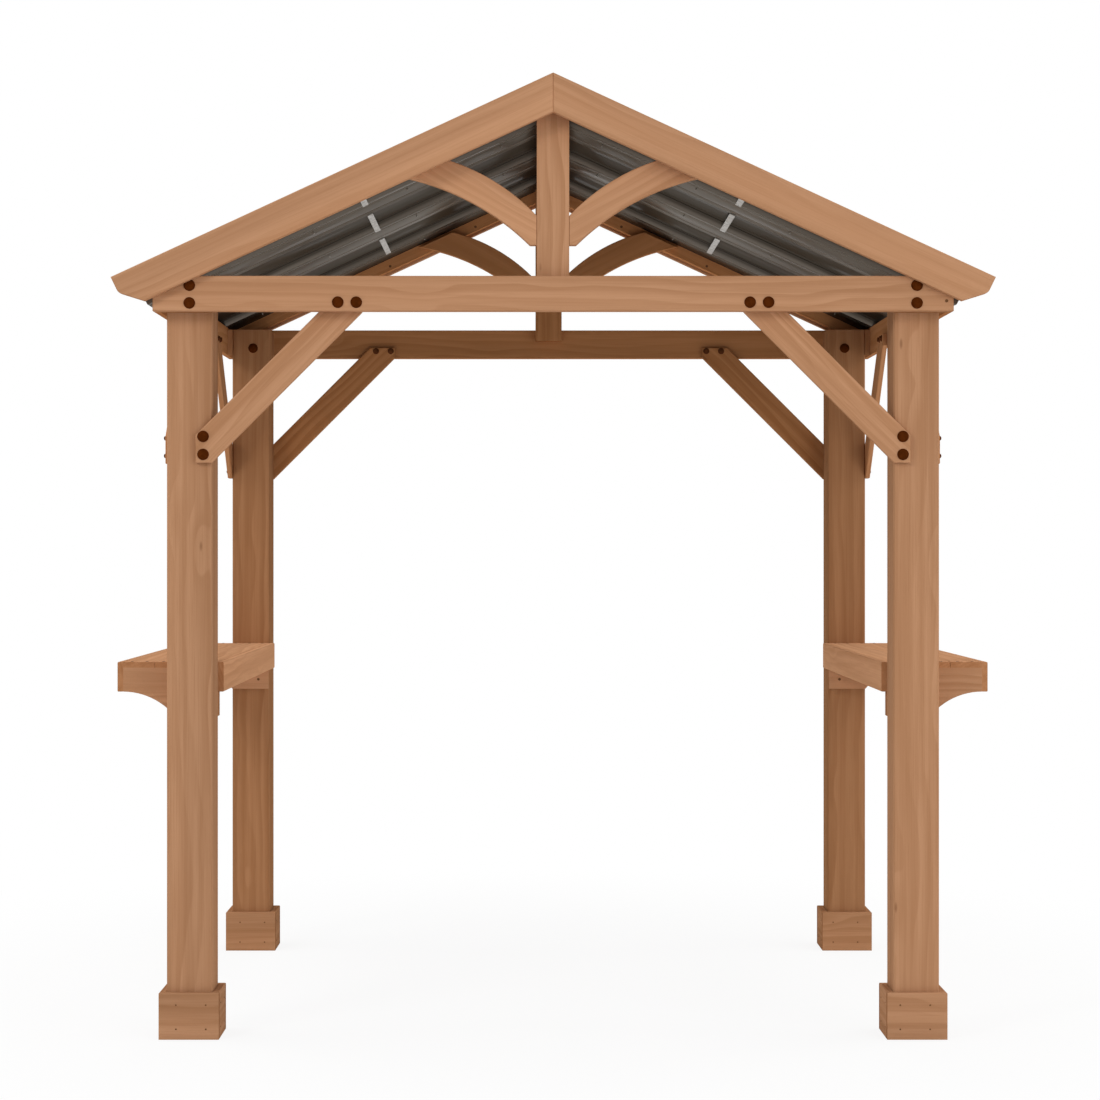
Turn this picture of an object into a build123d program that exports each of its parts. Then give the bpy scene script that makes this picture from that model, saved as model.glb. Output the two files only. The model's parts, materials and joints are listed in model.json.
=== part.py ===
from build123d import *

import os
from math import cos, radians, sin, sqrt, tan

# Garden gazebo for a grill: four timber posts, two gable frames, a ribbed metal roof and a
# shelf on each side. Lengths are in millimetres. The origin is on the ground in the middle of
# the plan. +Z is up, +X runs along the gable and the front gable faces -Y.
# Every timber is drawn for the front right corner and mirrored to the others.

# Posts and the boards boxed round their feet
POST_SIZE = 127.0
POSTS_WIDTH = 2150.0
POSTS_DEPTH = 1673.0
POST_TOP_DROP = 10.0
BOOT_BOARD = 20.0
BOOT_HEIGHT = 130.0
BOOT_JOINT_GAP = 0.5

# Beams that tie the posts together
BEAM_UNDERSIDE = 2020.0
TIE_DEPTH = 97.0
TIE_THICKNESS = 38.0
TIE_END_HEIGHT = 45.0
EAVE_BEAM_THICKNESS = 16.0

# Diagonal braces, sandwiched between a post and a beam
BRACE_WIDTH = 86.0
BRACE_THICKNESS = 16.0
BRACE_LEG = 418.0
BRACE_POST_LAP = 45.0
BRACE_BEAM_LAP = 36.0

# Roof timbers
ROOF_PITCH_DEGREES = 24.8
RAFTER_DEPTH = 37.0
RAFTER_OVERHANG = 15.0
RAKE_WIDTH = 98.0
RAKE_THICKNESS = 24.0
RAKE_OVERHANG = 112.0
RAKE_DROP = 9.0
RAKE_NOSE_LENGTH = 92.0
RAKE_NOSE_SET_IN = 21.0
RAKE_NOSE_RISE = 55.0
RAKE_NOSE_RADIUS = 22.0
RIDGE_BEAM_THICKNESS = 38.0
RIDGE_BEAM_DEPTH = 90.0

# King posts and the curved struts beside them
KING_WIDTH = 90.0
KING_THICKNESS = 38.0
KING_LAP = 40.0
STRUT_THICKNESS = 28.0
STRUT_FOOT_HEIGHT = 89.0
STRUT_HEEL_HEIGHT = 171.0
STRUT_TOE = 19.0
STRUT_TOP_INNER = 331.0
STRUT_TOP_OUTER = 445.0
STRUT_RAFTER_LAP = 30.0
STRUT_INNER_RISE = 33.0
STRUT_OUTER_RISE = 24.0

# Metal roof: ribbed panels on each slope, flat bars that bridge the ribs and a cap along the ridge
PANEL_COUNT = 3
PANEL_GAUGE = 2.0
PANEL_OVERHANG = 61.0
PANEL_RIDGE_GAP = 4.0
PANEL_SEAM_GAP = 0.5
PANEL_LIP = 6.0
RIB_WIDTH = 360.0
RIB_HEIGHT = 19.0
RIB_WEB_RUN = 12.0
TIE_BAR_RUN = 544.0
TIE_BAR_WIDTH = 18.0
TIE_BAR_THICKNESS = 3.0
TIE_BAR_LAP = 25.0
CAP_SLOPE_LENGTH = 150.0
CAP_GAUGE = 2.0
CAP_END_GAP = 1.0

# Side shelves
SHELF_TOP = 1042.0
SHELF_WIDTH = 301.0
SHELF_BOARD = 16.0
SHELF_BOARD_COUNT = 3
SHELF_BOARD_GAP = 1.0
APRON_THICKNESS = 16.0
APRON_DEPTH = 84.0
CORBEL_THICKNESS = 38.0
CORBEL_DROP = 69.0
CORBEL_CURVE_RUN = 146.0
CORBEL_CURVE_RISE = 18.0

# Planed edges
POST_EASE = 4.0
BOARD_EASE = 2.0

# Places that follow from the sizes above
PITCH = radians(ROOF_PITCH_DEGREES)
SLOPE = tan(PITCH)
POST_OUTER_X = POSTS_WIDTH / 2
POST_INNER_X = POST_OUTER_X - POST_SIZE
POST_OUTER_Y = POSTS_DEPTH / 2
POST_INNER_Y = POST_OUTER_Y - POST_SIZE
BEAM_TOP = BEAM_UNDERSIDE + TIE_DEPTH
POST_HEIGHT = BEAM_TOP - POST_TOP_DROP
EAVE_INNER_X = POST_OUTER_X + BRACE_THICKNESS
TIE_HALF_LENGTH = EAVE_INNER_X + EAVE_BEAM_THICKNESS
TIE_INNER_Y = POST_OUTER_Y + BRACE_THICKNESS
TIE_OUTER_Y = TIE_INNER_Y + TIE_THICKNESS
RAKE_OUTER_Y = TIE_OUTER_Y + RAKE_THICKNESS
RAFTER_END = TIE_HALF_LENGTH + RAFTER_OVERHANG
RAKE_TIP = TIE_HALF_LENGTH + RAKE_OVERHANG
PANEL_EAVE = TIE_HALF_LENGTH + PANEL_OVERHANG


def rafter_underside(x):
    """Height of the rafters' lower edge at a distance x from the ridge line."""
    return BEAM_UNDERSIDE + TIE_END_HEIGHT + (TIE_HALF_LENGTH - x) * SLOPE


def rake_underside(x):
    """Height of the rake boards' lower edge, which hangs a little below the rafters."""
    return rafter_underside(x) - RAKE_DROP / cos(PITCH)


def panel_underside(x):
    """Height of the rafters' top edge, where the panels' flats lie."""
    return rafter_underside(x) + RAFTER_DEPTH / cos(PITCH)


def block(x_low, x_high, y_low, y_high, z_low, z_high):
    """A square-sawn piece between two corners."""
    size = (x_high - x_low, y_high - y_low, z_high - z_low)
    return Pos(x_low, y_low, z_low) * Box(*size, align=(Align.MIN, Align.MIN, Align.MIN))


def plate_across(outline, y_low, y_high):
    """A board with an (x, z) outline, from y_low to y_high."""
    points = [(x, y_low, z) for x, z in outline]
    return extrude(make_face(Polyline(*points, close=True)), amount=y_high - y_low, dir=(0, 1, 0))


def plate_along(outline, x_low, x_high):
    """A board with a (y, z) outline, from x_low to x_high."""
    points = [(x_low, y, z) for y, z in outline]
    return extrude(make_face(Polyline(*points, close=True)), amount=x_high - x_low, dir=(1, 0, 0))


def eased_faces(board, normal):
    """The board with the edges of its two broad faces planed off."""
    faces = board.faces().sort_by(normal)
    return chamfer(faces[0].edges() + faces[-1].edges(), BOARD_EASE)


def eased_length(timber, along):
    """The timber with its long edges planed off."""
    return chamfer(timber.edges().filter_by(along), BOARD_EASE)


def mirrored_x(shape):
    return mirror(shape, about=Plane.YZ)


def mirrored_y(shape):
    return mirror(shape, about=Plane.XZ)


def post():
    timber = block(POST_INNER_X, POST_OUTER_X, -POST_OUTER_Y, -POST_INNER_Y, 0, POST_HEIGHT)
    return chamfer(timber.edges().filter_by(Axis.Z), POST_EASE)


def boot():
    """Two boards as wide as the boot, and two between them."""
    x_low, x_high = POST_INNER_X, POST_OUTER_X
    y_low, y_high = -POST_OUTER_Y, -POST_INNER_Y
    boards = [
        block(x_low - BOOT_BOARD, x_high + BOOT_BOARD, y_low - BOOT_BOARD, y_low, 0, BOOT_HEIGHT),
        block(x_low - BOOT_BOARD, x_high + BOOT_BOARD, y_high, y_high + BOOT_BOARD, 0, BOOT_HEIGHT),
    ]
    for x in (x_low - BOOT_BOARD, x_high):
        boards.append(
            block(x, x + BOOT_BOARD, y_low + BOOT_JOINT_GAP, y_high - BOOT_JOINT_GAP, 0, BOOT_HEIGHT)
        )
    tops = [chamfer(b.faces().sort_by(Axis.Z)[-1].edges(), BOARD_EASE) for b in boards]
    return Compound(children=tops)


def tie_beam():
    """The long beam across a gable, its upper corners cut under the rafters."""
    shoulder = TIE_HALF_LENGTH - (TIE_DEPTH - TIE_END_HEIGHT) / SLOPE
    right = [
        (TIE_HALF_LENGTH, BEAM_UNDERSIDE),
        (TIE_HALF_LENGTH, BEAM_UNDERSIDE + TIE_END_HEIGHT),
        (shoulder, BEAM_TOP),
    ]
    left = [(-x, z) for x, z in reversed(right)]
    return eased_faces(plate_across(right + left, -TIE_OUTER_Y, -TIE_INNER_Y), Axis.Y)


def eave_beam():
    """The beam along a side, its top planed to the slope of the panels that rest on it."""
    outline = [
        (EAVE_INNER_X, BEAM_UNDERSIDE),
        (TIE_HALF_LENGTH, BEAM_UNDERSIDE),
        (TIE_HALF_LENGTH, panel_underside(TIE_HALF_LENGTH)),
        (EAVE_INNER_X, panel_underside(EAVE_INNER_X)),
    ]
    return plate_across(outline, -TIE_INNER_Y, TIE_INNER_Y)


def packer_pair():
    """The two blocks that fill the braces' gap between a post and its beams."""
    across = block(
        POST_INNER_X, POST_OUTER_X, -TIE_INNER_Y, -POST_OUTER_Y, BEAM_UNDERSIDE, POST_HEIGHT
    )
    along = block(
        POST_OUTER_X, EAVE_INNER_X, -POST_OUTER_Y, -POST_INNER_Y, BEAM_UNDERSIDE, POST_HEIGHT
    )
    return [across, along]


def brace_outline():
    """Corners of a brace, as the run in from the post's inner face and the rise over the beam's underside."""
    upper_leg = BRACE_LEG - BRACE_WIDTH * sqrt(2)
    return [
        (-BRACE_POST_LAP, -BRACE_LEG),
        (0, -BRACE_LEG),
        (BRACE_LEG, 0),
        (BRACE_LEG, BRACE_BEAM_LAP),
        (upper_leg + BRACE_BEAM_LAP, BRACE_BEAM_LAP),
        (-BRACE_POST_LAP, -upper_leg - BRACE_POST_LAP),
    ]


def gable_brace():
    outline = [(POST_INNER_X - run, BEAM_UNDERSIDE + rise) for run, rise in brace_outline()]
    return eased_faces(plate_across(outline, -TIE_INNER_Y, -POST_OUTER_Y), Axis.Y)


def side_brace():
    outline = [(run - POST_INNER_Y, BEAM_UNDERSIDE + rise) for run, rise in brace_outline()]
    return eased_faces(plate_along(outline, POST_OUTER_X, EAVE_INNER_X), Axis.X)


def king_post():
    """The middle upright of a gable, with a pointed top under the panels."""
    half = KING_WIDTH / 2
    outline = [
        (half, BEAM_TOP - KING_LAP),
        (half, panel_underside(half)),
        (0, panel_underside(0)),
        (-half, panel_underside(half)),
        (-half, BEAM_TOP - KING_LAP),
    ]
    return plate_across(outline, -TIE_INNER_Y, KING_THICKNESS - TIE_INNER_Y)


def curved_strut():
    """The arched board from the king post to a rafter."""
    y = -TIE_INNER_Y
    half = KING_WIDTH / 2
    heel = (half, y, BEAM_TOP + STRUT_HEEL_HEIGHT)
    foot = (half, y, BEAM_TOP + STRUT_FOOT_HEIGHT)
    toe = (half + STRUT_TOE, y, BEAM_TOP + STRUT_FOOT_HEIGHT)
    top_outer = (STRUT_TOP_OUTER, y, rafter_underside(STRUT_TOP_OUTER) + STRUT_RAFTER_LAP)
    top_inner = (STRUT_TOP_INNER, y, rafter_underside(STRUT_TOP_INNER) + STRUT_RAFTER_LAP)
    edges = [
        Line(heel, foot),
        Line(foot, toe),
        bowed_edge(toe, top_outer, STRUT_INNER_RISE),
        Line(top_outer, top_inner),
        bowed_edge(top_inner, heel, STRUT_OUTER_RISE),
    ]
    return eased_faces(extrude(make_face(edges), amount=STRUT_THICKNESS, dir=(0, 1, 0)), Axis.Y)


def bowed_edge(start, end, rise):
    """An arc in the XZ plane whose middle stands `rise` above its chord."""
    run = Vector(*end) - Vector(*start)
    across = Vector(-run.Z, 0, run.X).normalized()
    if across.Z < 0:
        across = -across
    middle = (Vector(*start) + Vector(*end)) / 2 + across * rise
    return ThreePointArc(start, middle, end)


def rafter():
    outline = [
        (0, rafter_underside(0)),
        (RAFTER_END, rafter_underside(RAFTER_END)),
        (RAFTER_END, panel_underside(RAFTER_END)),
        (0, panel_underside(0)),
    ]
    return plate_across(outline, -TIE_OUTER_Y, -TIE_INNER_Y)


def rake_board():
    """The gable's face board: mitred at the ridge, its nose cut twice and rounded between the cuts."""
    face_height = RAKE_WIDTH / cos(PITCH)
    heel_x = RAKE_TIP - RAKE_NOSE_LENGTH
    corner_x = RAKE_TIP - RAKE_NOSE_SET_IN
    corner_z = rake_underside(corner_x) + RAKE_NOSE_RISE
    outline = [
        (0, rake_underside(0)),
        (heel_x, rake_underside(heel_x)),
        (corner_x, corner_z),
        (RAKE_TIP, rake_underside(RAKE_TIP) + face_height),
        (0, rake_underside(0) + face_height),
    ]
    board = plate_across(outline, -RAKE_OUTER_Y, -TIE_OUTER_Y)
    corner = Vector(corner_x, -(RAKE_OUTER_Y + TIE_OUTER_Y) / 2, corner_z)
    nose = board.edges().filter_by(Axis.Y).sort_by_distance(corner)[0]
    return eased_faces(fillet([nose], RAKE_NOSE_RADIUS), Axis.Y)


def ridge_beam():
    half = RIDGE_BEAM_THICKNESS / 2
    foot = panel_underside(0) - RIDGE_BEAM_DEPTH
    outline = [
        (half, foot),
        (half, panel_underside(half)),
        (0, panel_underside(0)),
        (-half, panel_underside(half)),
        (-half, foot),
    ]
    end = TIE_INNER_Y - KING_THICKNESS
    return plate_across(outline, -end, end)


def slope_plane(run=0.0, height=0.0):
    """Section plane across the right slope: its x axis is the row's +Y, its y axis stands off the panels."""
    start = Vector(0, 0, panel_underside(0))
    down_slope = Vector(cos(PITCH), 0, -sin(PITCH))
    off_slope = Vector(sin(PITCH), 0, cos(PITCH))
    origin = start + down_slope * run + off_slope * height
    return Plane(origin=origin, x_dir=(0, 1, 0), z_dir=down_slope)


def panel_length():
    return PANEL_EAVE / cos(PITCH) - PANEL_RIDGE_GAP


def panel_starts():
    """Where each panel begins, from the front rake board to the back one."""
    pitch = 2 * TIE_OUTER_Y / PANEL_COUNT
    return [index * pitch - TIE_OUTER_Y for index in range(PANEL_COUNT)], pitch


def roof_panel(start, pitch):
    """One folded sheet: a narrow lip, a broad raised rib and a wide flat."""
    rib_start = start + PANEL_LIP
    rib_end = rib_start + RIB_WIDTH
    end = start + pitch - PANEL_SEAM_GAP
    lower = [
        (start, 0),
        (rib_start, 0),
        (rib_start + RIB_WEB_RUN, RIB_HEIGHT),
        (rib_end - RIB_WEB_RUN, RIB_HEIGHT),
        (rib_end, 0),
        (end, 0),
    ]
    upper = [(y, height + PANEL_GAUGE) for y, height in reversed(lower)]
    section = make_face(slope_plane(PANEL_RIDGE_GAP) * Polyline(*lower, *upper, close=True))
    return extrude(section, amount=panel_length(), dir=slope_plane().z_dir)


def rib_tie_bars():
    """Flat bars that bridge the ribs under one slope, clear of the front rafter."""
    bars = []
    starts, _ = panel_starts()
    plane = slope_plane(TIE_BAR_RUN / cos(PITCH) - TIE_BAR_WIDTH / 2, -TIE_BAR_THICKNESS / 2)
    for start in starts:
        low = max(start, -TIE_INNER_Y)
        high = start + PANEL_LIP + RIB_WIDTH + TIE_BAR_LAP
        section = plane * Pos((low + high) / 2, 0) * Rectangle(high - low, TIE_BAR_THICKNESS)
        bars.append(extrude(section, amount=TIE_BAR_WIDTH, dir=plane.z_dir))
    return bars


def ridge_cap():
    reach = CAP_SLOPE_LENGTH * cos(PITCH)
    underside = (RIB_HEIGHT + PANEL_GAUGE) / cos(PITCH)
    top = underside + CAP_GAUGE / cos(PITCH)
    lower = [(x, panel_underside(abs(x)) + underside) for x in (-reach, 0, reach)]
    upper = [(x, panel_underside(abs(x)) + top) for x in (reach, 0, -reach)]
    end = TIE_OUTER_Y - CAP_END_GAP
    return plate_across(lower + upper, -end, end)


def shelf_span():
    """Inner and outer edge of the right shelf."""
    inner = POST_INNER_X - APRON_THICKNESS
    return inner, inner + SHELF_WIDTH


def shelf_boards():
    """Boards between the aprons, laid along the shelf."""
    inner, outer = shelf_span()
    low, high = inner + APRON_THICKNESS, outer - APRON_THICKNESS
    width = (high - low - (SHELF_BOARD_COUNT - 1) * SHELF_BOARD_GAP) / SHELF_BOARD_COUNT
    boards = []
    for index in range(SHELF_BOARD_COUNT):
        x = low + index * (width + SHELF_BOARD_GAP)
        boards.append(
            block(x, x + width, -POST_INNER_Y, POST_INNER_Y, SHELF_TOP - SHELF_BOARD, SHELF_TOP)
        )
    return Compound(children=boards)


def shelf_aprons():
    inner, outer = shelf_span()
    aprons = []
    for x in (inner, outer - APRON_THICKNESS):
        board = block(
            x, x + APRON_THICKNESS, -POST_INNER_Y, POST_INNER_Y, SHELF_TOP - APRON_DEPTH, SHELF_TOP
        )
        aprons.append(eased_length(board, Axis.Y))
    return Compound(children=aprons)


def shelf_corbel():
    """The bracket under a shelf's front end, bolted to the post behind it."""
    inner, outer = shelf_span()
    y = -POST_INNER_Y
    left, right = inner + APRON_THICKNESS, outer - APRON_THICKNESS
    top, nose = SHELF_TOP - SHELF_BOARD, SHELF_TOP - APRON_DEPTH
    foot = nose - CORBEL_DROP
    curve_end = right - CORBEL_CURVE_RUN
    edges = [
        Line((left, y, top), (right, y, top)),
        Line((right, y, top), (right, y, nose)),
        bowed_edge((right, y, nose), (curve_end, y, foot), CORBEL_CURVE_RISE),
        Line((curve_end, y, foot), (left, y, foot)),
        Line((left, y, foot), (left, y, top)),
    ]
    return extrude(make_face(edges), amount=CORBEL_THICKNESS, dir=(0, 1, 0))


def corners():
    """The four corners: the name of each, and how a front right piece gets there."""
    return {
        "front_right": lambda shape: shape,
        "front_left": mirrored_x,
        "back_right": mirrored_y,
        "back_left": lambda shape: mirrored_x(mirrored_y(shape)),
    }


def gable_nodes():
    nodes = {}
    pieces = {
        "gable_braces": [gable_brace(), mirrored_x(gable_brace())],
        "curved_struts": [curved_strut(), mirrored_x(curved_strut())],
    }
    for name, pair in pieces.items():
        nodes["front_" + name] = Compound(children=pair)
        nodes["back_" + name] = Compound(children=[mirrored_y(piece) for piece in pair])
    for name, piece in {"tie_beam": tie_beam(), "king_post": king_post()}.items():
        nodes["front_" + name] = piece
        nodes["back_" + name] = mirrored_y(piece)
    return nodes


def corner_nodes():
    nodes = {}
    packers = []
    for corner, place in corners().items():
        nodes[corner + "_post"] = place(post())
        nodes[corner + "_boot"] = place(boot())
        nodes[corner + "_rafter"] = place(rafter())
        nodes[corner + "_rake_board"] = place(rake_board())
        packers += [place(packer) for packer in packer_pair()]
    nodes["beam_packers"] = Compound(children=packers)
    return nodes


def side_nodes():
    braces = [side_brace(), mirrored_y(side_brace())]
    corbels = [shelf_corbel(), mirrored_y(shelf_corbel())]
    right = {
        "eave_beam": eave_beam(),
        "side_braces": Compound(children=braces),
        "shelf_boards": shelf_boards(),
        "shelf_aprons": shelf_aprons(),
        "shelf_corbels": Compound(children=corbels),
    }
    nodes = {}
    for name, piece in right.items():
        nodes["right_" + name] = piece
        nodes["left_" + name] = mirrored_x(piece)
    return nodes


def roof_nodes():
    nodes = {"ridge_beam": ridge_beam(), "ridge_cap": ridge_cap()}
    starts, pitch = panel_starts()
    for index, start in enumerate(starts, 1):
        panel = roof_panel(start, pitch)
        nodes[f"right_roof_panel_{index}"] = panel
        nodes[f"left_roof_panel_{index}"] = mirrored_x(panel)
    bars = rib_tie_bars()
    nodes["rib_tie_bars"] = Compound(children=bars + [mirrored_x(bar) for bar in bars])
    return nodes


def main():
    os.makedirs("parts", exist_ok=True)
    nodes = {**corner_nodes(), **gable_nodes(), **side_nodes(), **roof_nodes()}
    for name, shape in nodes.items():
        export_step(shape, f"parts/{name}.step")
    print(len(nodes), "nodes")


main()
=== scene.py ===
"""Finishes for the garden gazebo: oiled cedar, painted steel roof, bolt caps, nails and roof screws.

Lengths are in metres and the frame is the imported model's own: +Z up, the front gable faces -Y.
"""

import json
import math

import bpy
from mathutils import Matrix, Vector

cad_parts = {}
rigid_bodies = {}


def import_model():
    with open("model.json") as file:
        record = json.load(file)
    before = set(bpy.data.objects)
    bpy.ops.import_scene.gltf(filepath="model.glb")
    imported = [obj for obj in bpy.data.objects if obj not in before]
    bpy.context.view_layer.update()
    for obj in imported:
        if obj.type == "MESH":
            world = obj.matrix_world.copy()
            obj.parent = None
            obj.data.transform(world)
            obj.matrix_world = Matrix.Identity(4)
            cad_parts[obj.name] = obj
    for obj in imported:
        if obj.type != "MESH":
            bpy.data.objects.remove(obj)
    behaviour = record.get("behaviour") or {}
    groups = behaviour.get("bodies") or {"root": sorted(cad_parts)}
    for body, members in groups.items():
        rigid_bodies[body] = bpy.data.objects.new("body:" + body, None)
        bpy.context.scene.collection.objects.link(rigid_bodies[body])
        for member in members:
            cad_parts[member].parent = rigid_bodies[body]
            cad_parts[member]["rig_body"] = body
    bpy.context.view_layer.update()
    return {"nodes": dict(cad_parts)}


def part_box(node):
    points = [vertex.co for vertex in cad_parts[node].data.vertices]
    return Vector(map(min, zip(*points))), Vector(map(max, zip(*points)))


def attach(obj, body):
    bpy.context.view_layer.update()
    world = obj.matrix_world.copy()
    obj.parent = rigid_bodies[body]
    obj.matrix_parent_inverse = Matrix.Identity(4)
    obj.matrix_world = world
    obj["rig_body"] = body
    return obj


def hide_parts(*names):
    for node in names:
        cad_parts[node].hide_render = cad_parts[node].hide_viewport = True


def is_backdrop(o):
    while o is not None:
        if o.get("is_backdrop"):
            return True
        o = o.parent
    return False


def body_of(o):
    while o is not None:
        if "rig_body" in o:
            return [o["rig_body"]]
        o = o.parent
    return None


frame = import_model()

MM = 0.001
PITCH = math.radians(24.8)
SIDES = {"right": 1, "left": -1}
ENDS = {"front": -1, "back": 1}

# Camera, set where the photographer stood: level, square to the gable and a little left of its middle
CAMERA_PLACE = (-0.064, -7.8365, 1.365)
CAMERA_LENS = 82.3
CAMERA_SHIFT = (0.0182, -0.0018)
CAMERA_REACH = 200

# Lamps, each with its place, what it points at, its width and its watts
LAMPS = {
    "key": ((-4.2, -5.2, 4.5), (0, 0, 1.3), 2.0, 110),
    "fill": ((4.4, -5.4, 2.4), (0, 0, 1.2), 4.0, 106),
    "right_high": ((3.4, 0, 4.0), (1.1, 0, 1.0), 2.5, 62),
    "left_high": ((-3.4, 0, 4.0), (-1.1, 0, 1.0), 2.5, 62),
    "back_fill": ((0.5, 8.0, 4.2), (0, 0, 1.3), 4.0, 110),
}
AMBIENT_LIGHT = 0.56

# Floor: its glow is (near, far, glow at near, glow at far) from the object's middle
FLOOR_SIZE = 80
FLOOR_DROP = 0.5 * MM
FLOOR_PAINT = (0.86, 0.86, 0.86, 1)
FLOOR_GLOW = (1.3, 3.0, 0.87, 1.0)
WHITE = (1, 1, 1, 1)

# Points closer than this are merged, and faces that meet at less than this angle are shaded as one
MERGE_DISTANCE = 0.02 * MM
SMOOTH_ANGLE = math.radians(35)

# Outlines of fastenings turned about Z: (radius, height) in mm, from the top's middle to the foot's
SIDE_BOLT_HEAD = ((0, 7), (3, 6.6), (5.5, 5), (7, 2), (7, 0), (0, 0))
WASHER = ((0, 1.8), (10, 1.8), (10.5, 1.3), (10.5, 0), (0, 0))
NUT = ((0, 8), (6.8, 8), (8, 7), (8, 0), (0, 0))
NAIL_HEAD = ((0, 1.1), (1.68, 0.9), (2.4, 0.2), (2.4, 0), (0, 0))
WOOD_SCREW_HEAD = ((0, 0.1), (1.575, 0.1), (2.025, 0.9), (3.6, 0.9), (4.5, 0.3), (4.5, 0), (0, 0))
ROOF_SCREW_HEAD = ((0, 6), (4, 6), (4.6, 5), (4.6, 1.6), (8, 1.4), (8.4, 0), (0, 0))
ROOF_SCREW_TIP = ((0, 8), (1, 5.5), (2, 4.8), (2, 0), (0, 0))

# Bolt cap, in mm: a low dome that ends inside a rounded rim
CAP_HEIGHT = 8.6
CAP_DOME_RADIUS = 14
CAP_DOME_FOOT = 2.4
CAP_DOME_STEPS = 6
CAP_RIM = ((15.4, 2.2), (16, 1.5), (16, 0), (0, 0))

# Bolts: heights and drops are from the tie beam's underside, runs from the post's inner face
TIE_END_BOLT = 102 * MM
TIE_LOW_BOLT = 22 * MM
TIE_HIGH_BOLT = 71 * MM
EAVE_HIGH_BOLT = 66 * MM
BRACE_HEAD_HEIGHT = 24 * MM
BRACE_HEAD_BOLTS = (353 * MM, 404 * MM)
BRACE_FOOT_BOLTS = (345 * MM, 395 * MM)
BRACE_FOOT_INSET = 24 * MM

# Nails and screws
NAIL_SHIFT = 6 * MM
NAIL_INSET = 41.5 * MM
NAIL_HEIGHTS = (29 * MM, 96 * MM)
TIE_SCREW_INSET = 20 * MM
TIE_SCREW_HEIGHT = 28 * MM
SHELF_SCREW_INSET = 19 * MM
SHELF_SCREW_SHARES = (0.25, 0.72)
APRON_SCREW_SHARES = (0.3, 0.7)
CORBEL_THICKNESS = 38 * MM
CORBEL_SCREWS = ((30 * MM, 40 * MM), (95 * MM, 40 * MM), (35 * MM, 105 * MM), (90 * MM, 100 * MM))
RAFTER_SCREW_RUNS = (252 * MM, 547 * MM, 800 * MM, 1030 * MM)
RAFTER_SCREW_DROP = 26 * MM
ROOF_SCREW_ROWS = (164 * MM, 468 * MM, 772 * MM, 1076 * MM)
ROOF_SCREW_INSET = 76 * MM

# Roof sheet
SHEET_LIP = 6 * MM
SHEET_RIB = 360 * MM
SHEET_RIB_HEIGHT = 19 * MM
SHEET_WEB = 12 * MM
SHEET_GAUGE = 2 * MM
SHEET_BEND = 1.5 * MM
BEND_STEPS = 3
BEND_LEAST_ANGLE = math.radians(15)
SHEET_RIDGE_GAP = 4 * MM
BEAD_WIDTH = 12 * MM
BEAD_DEPTH = 3 * MM
RIB_BEADS = (40 * MM, 312 * MM)
PAN_BEADS = (400 * MM, 540 * MM)

# Shelf boards, side by side
SHELF_BOARD_COUNT = 3
SHELF_BOARD_GAP = 1 * MM


# Small helpers for node trees

def add_node(tree, kind, inputs=None, **settings):
    made = tree.nodes.new(kind)
    for key, value in settings.items():
        setattr(made, key, value)
    for key, value in (inputs or {}).items():
        socket = made.inputs[key]
        if isinstance(value, bpy.types.NodeSocket):
            tree.links.new(value, socket)
        else:
            socket.default_value = value
    return made


def maths(tree, operation, *values):
    return add_node(tree, "ShaderNodeMath", dict(enumerate(values)), operation=operation).outputs[0]


def reach(tree, value, low, high, to_low=0.0, to_high=1.0):
    """The value carried smoothly from one range to another."""
    inputs = {"Value": value, "From Min": low, "From Max": high, "To Min": to_low, "To Max": to_high}
    made = add_node(tree, "ShaderNodeMapRange", inputs, interpolation_type="SMOOTHSTEP")
    return made.outputs["Result"]


def mixed(tree, factor, first, second, blend="MIX"):
    """Two colours mixed. A mix node's colours are its sockets 6 and 7, and the result is socket 2."""
    inputs = {0: factor, 6: first, 7: second}
    return add_node(tree, "ShaderNodeMix", inputs, data_type="RGBA", blend_type=blend).outputs[2]


def new_material(name):
    material = bpy.data.materials.new(name)
    material.use_nodes = True
    return material, material.node_tree, material.node_tree.nodes["Principled BSDF"]


# Cedar

EARLY_WOOD = (0.500, 0.267, 0.146, 1)
LATE_WOOD = (0.350, 0.166, 0.078, 1)
KNOT_WOOD = (0.165, 0.070, 0.031, 1)
END_GRAIN = (0.72, 0.64, 0.55, 1)
RING_SPACING = 11 * MM
RING_WANDER = 52 * MM
KNOT_SWELL = 9 * MM
GRAIN_BUMP = 0.3 * MM
GRAIN_BUMP_STRENGTH = 0.4
LATE_HEIGHT = 0.2

# Textures: features a metre along the board and over its section, and how detailed they are
WANDER = (1.1, 5.5, 2.0)
PLAINNESS = (0.5, 9.0, 1.0)
FIBRE = (6.0, 330.0, 3.0)
STREAK = (0.7, 38.0, 2.0)
BROAD = (0.35, 8.0, 1.0)
KNOTS = (2.9, 10.0)

# Ranges of a texture's value, some followed by the two values that the range is carried to
KNOT_EDGE = (0.060, 0.012, 0.0, 0.55)
KNOT_REACH = (0.42, 0.04)
LATE_RISE = (0.10, 0.86)
LATE_FALL = (1.0, 0.90)
PLAIN_RANGE = (0.30, 0.72)
PLAIN_FIGURE = (0.06, 0.42)
STREAK_RANGE = (0.36, 0.70)
STREAK_FIGURE = 0.32
FIBRE_RANGE = (0.44, 0.72)
FIBRE_FIGURE = 0.20
END_FACING = (0.55, 0.95)
BROAD_TONES = (0.30, 0.70, 0.93, 1.06)
WOOD_ROUGHNESS = (0.3, 0.7, 0.62, 0.76)

# How far along the log each board is cut, so that no two boards show the same grain
SEED_SHIFT = 1.37
MIRROR_SHIFT = 2.61
BOARD_SHIFT = 3.19
BOXED_SHIFT = 0.83
WIDTH_SHARE = 0.31
DEPTH_SHARE = 0.17

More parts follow.
